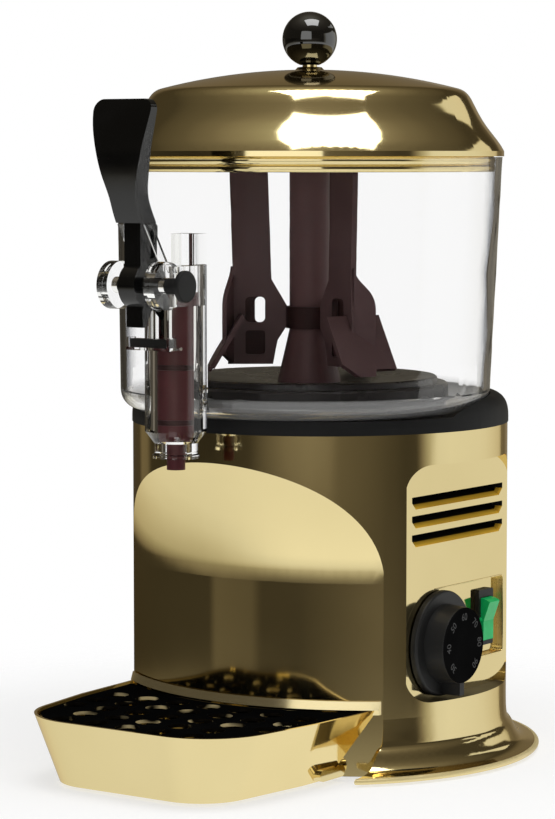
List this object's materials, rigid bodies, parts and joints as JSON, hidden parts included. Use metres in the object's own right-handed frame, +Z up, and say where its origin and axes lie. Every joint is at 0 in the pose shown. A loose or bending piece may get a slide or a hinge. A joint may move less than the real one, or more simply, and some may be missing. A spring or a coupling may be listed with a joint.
{
  "type": "hot chocolate dispenser",
  "caption": "Countertop hot chocolate dispenser: clear bowl with stirrer and lever tap on a round gold body, gold lid with ball knob, side dial and switch, drip tray in front.",
  "frame": {"origin": "middle of the overall footprint, on the surface the feet stand on", "axes": "+Z up, -Y towards the user at the tap and drip tray, +X towards the control panel"},
  "size_m": [0.278, 0.353, 0.462],
  "materials": {
    "gold": "mirror polish",
    "black_matt": "matt",
    "black_satin": "satin",
    "black_gloss": "gloss",
    "clear": "clear gloss",
    "brown": "satin",
    "dark_plate": "satin",
    "column_grey": "satin",
    "green": "gloss",
    "rubber": "matt",
    "steel": "brushed",
    "motor_grey": "satin",
    "bush_white": "matt"
  },
  "bodies": {
    "base": {"body_shell": "gold", "deck_ring": "black_matt", "base_plate": "black_matt", "feet": "rubber", "base_screws": "steel", "motor_bracket": "steel", "gearmotor": "motor_grey", "motor_screws": "steel", "water_bath": "steel", "heating_element": "steel", "cut_out": "bush_white", "hot_plate": "dark_plate", "bowl_seal": "rubber", "column": "column_grey", "shaft_bushes": "bush_white", "thermostat": "bush_white", "switch_housing": "black_matt", "terminal_block": "bush_white", "cord_gland": "black_matt"},
    "bowl_unit": {"bowl": "clear", "lever_stop": "black_satin", "lever_pin": "black_satin"},
    "lid_unit": {"lid": "gold", "knob_stud": "gold", "lid_knob": "black_gloss"},
    "lever": {"tap_lever": "black_satin"},
    "plunger": {"tap_piston": "brown", "piston_rings": "rubber"},
    "mixer": {"stirrer": "brown", "drive_shaft": "steel"},
    "dial": {"thermostat_knob": "black_satin", "thermostat_spindle": "steel"},
    "switch_rocker": {"rocker": "green"},
    "tray": {"drip_tray": "gold"},
    "grille": {"drip_grille": "black_matt"}
  },
  "joints": [
    {"name": "bowl_lift", "type": "slide", "parent": "base", "child": "bowl_unit", "axis": [0, 0, 1], "range_m": [0, 0.19]},
    {"name": "lid_lift", "type": "slide", "parent": "bowl_unit", "child": "lid_unit", "axis": [0, 0, 1], "range_m": [0, 0.08]},
    {"name": "lever_pull", "type": "hinge", "parent": "bowl_unit", "child": "lever", "pos_m": [0, -0.148, 0.298], "axis": [1, 0, 0], "range_deg": [0, 30]},
    {"name": "plunger_rise", "type": "slide", "parent": "bowl_unit", "child": "plunger", "axis": [0, 0, 1], "range_m": [0, 0.0175]},
    {"name": "mixer_turn", "type": "hinge", "parent": "base", "child": "mixer", "pos_m": [0, 0.0255, 0.3], "axis": [0, 0, 1], "continuous": true},
    {"name": "dial_turn", "type": "hinge", "parent": "base", "child": "dial", "pos_m": [0.11, 0.0149, 0.0772], "axis": [-1, 0, 0], "range_deg": [0, 270]},
    {"name": "rocker_tilt", "type": "hinge", "parent": "base", "child": "switch_rocker", "pos_m": [0.1004, 0.073, 0.0847], "axis": [0, 1, 0], "range_deg": [-18, 0]},
    {"name": "tray_pull", "type": "slide", "parent": "base", "child": "tray", "axis": [0, -1, 0], "range_m": [0, 0.12]},
    {"name": "grille_lift", "type": "slide", "parent": "tray", "child": "grille", "axis": [0, 0, 1], "range_m": [0, 0.06]}
  ],
  "couplings": [
    {"joint": "plunger_rise", "follows": "lever_pull", "m_per_rad": 0.0334}
  ]
}
